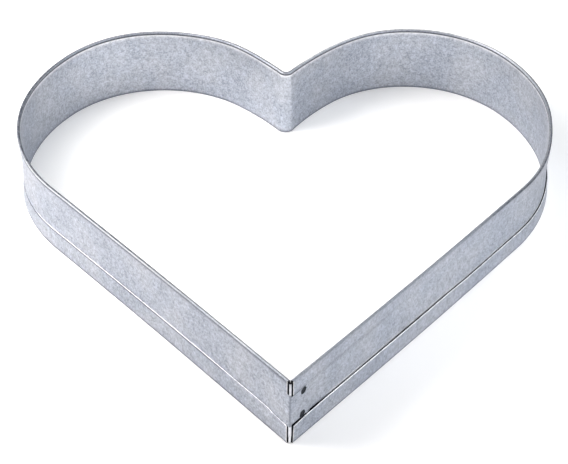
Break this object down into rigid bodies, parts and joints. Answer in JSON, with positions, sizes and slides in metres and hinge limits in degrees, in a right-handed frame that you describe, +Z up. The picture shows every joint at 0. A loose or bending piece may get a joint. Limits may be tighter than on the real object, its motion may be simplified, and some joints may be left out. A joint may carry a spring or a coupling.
{
  "type": "heart cake ring",
  "caption": "Heart-shaped bottomless cake ring of tinned steel strip, both edges folded into hems, closed at the point by a strap with spot welds.",
  "frame": {"origin": "middle of the ring's bounding box, on the surface that it stands on", "axes": "+Z up, +Y from the point of the heart towards its two lobes, +X towards the leg that carries the spot welds"},
  "size_m": [0.2518, 0.2506, 0.035],
  "materials": {
    "tinplate": "matte tinned steel, cloudy, with fine specks",
    "strap_tinplate": "matte tinned steel, cloudy, slightly darker at the bend",
    "weld_mark": "burnt electrode mark, dark and dull"
  },
  "bodies": {
    "root": {"heart_strip": "tinplate", "corner_strap": "strap_tinplate", "upper_spot_weld": "weld_mark", "lower_spot_weld": "weld_mark"}
  },
  "joints": []
}
